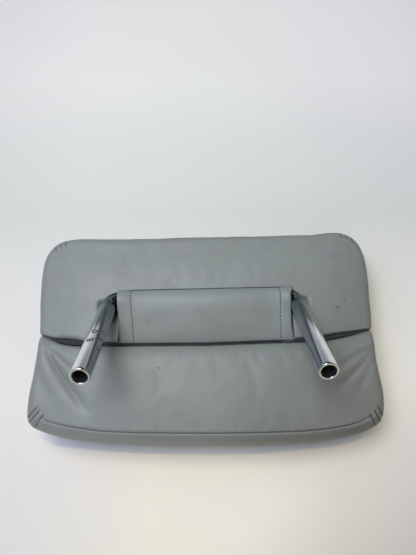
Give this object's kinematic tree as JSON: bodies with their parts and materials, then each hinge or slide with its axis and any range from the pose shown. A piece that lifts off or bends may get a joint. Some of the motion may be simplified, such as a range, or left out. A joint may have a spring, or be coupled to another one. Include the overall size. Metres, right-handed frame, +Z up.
{
  "type": "chair headrest attachment",
  "caption": "Padded grey headrest cushion tilting on a bent chrome tube whose two posts plug into a chair back, with a sewn flap over the crossbar.",
  "frame": {"origin": "on the tilt axis, the centre line of the tube's crossbar, at the middle of the cushion's width", "axes": "+X across the width to the sitter's left, +Z up towards the cushion's top edge, -Y is the head side and +Y the rear side where the posts leave"},
  "size_m": [0.424, 0.1786, 0.266],
  "materials": {
    "tube_chrome": "bright chrome plating, fine wrap-round scratches on one post",
    "plug": "black ribbed moulded plug",
    "liner": "natural nylon friction liner",
    "strap_steel": "zinc-plated pressed steel",
    "fastener_steel": "zinc-plated steel",
    "plywood": "birch plywood",
    "cover_vinyl": "smooth grey leather-look upholstery vinyl, fine grain, satin",
    "foam": "open-cell polyurethane foam",
    "tape": "dark grey hook-and-loop strip",
    "staple_wire": "galvanised staple wire"
  },
  "bodies": {
    "post_frame": {"support_tube": "tube_chrome", "left_post_plug": "plug", "right_post_plug": "plug"},
    "cushion": {"left_clamp_liner": "liner", "right_clamp_liner": "liner", "left_bar_clamp": "strap_steel", "right_bar_clamp": "strap_steel", "clamp_screws": "fastener_steel", "clamp_washers": "fastener_steel", "tee_nuts": "fastener_steel", "backing_board": "plywood", "front_cover": "cover_vinyl", "bottom_boxing": "cover_vinyl", "rear_lower_cover": "cover_vinyl", "rear_upper_cover": "cover_vinyl", "front_foam": "foam", "rear_lower_foam": "foam", "rear_upper_foam": "foam", "recess_pad": "foam", "flap_loop_tape": "tape", "cover_staples": "staple_wire"},
    "flap": {"bar_flap": "cover_vinyl", "flap_hook_tape": "tape"}
  },
  "joints": [
    {"name": "cushion_tilt", "type": "hinge", "parent": "post_frame", "child": "cushion", "pos_m": [0, 0, 0], "axis": [1, 0, 0], "range_deg": [-48, 12]},
    {"name": "flap_open", "type": "hinge", "parent": "cushion", "child": "flap", "pos_m": [0, 0.0055, 0.0172], "axis": [1, 0, 0], "range_deg": [0, 100]}
  ]
}
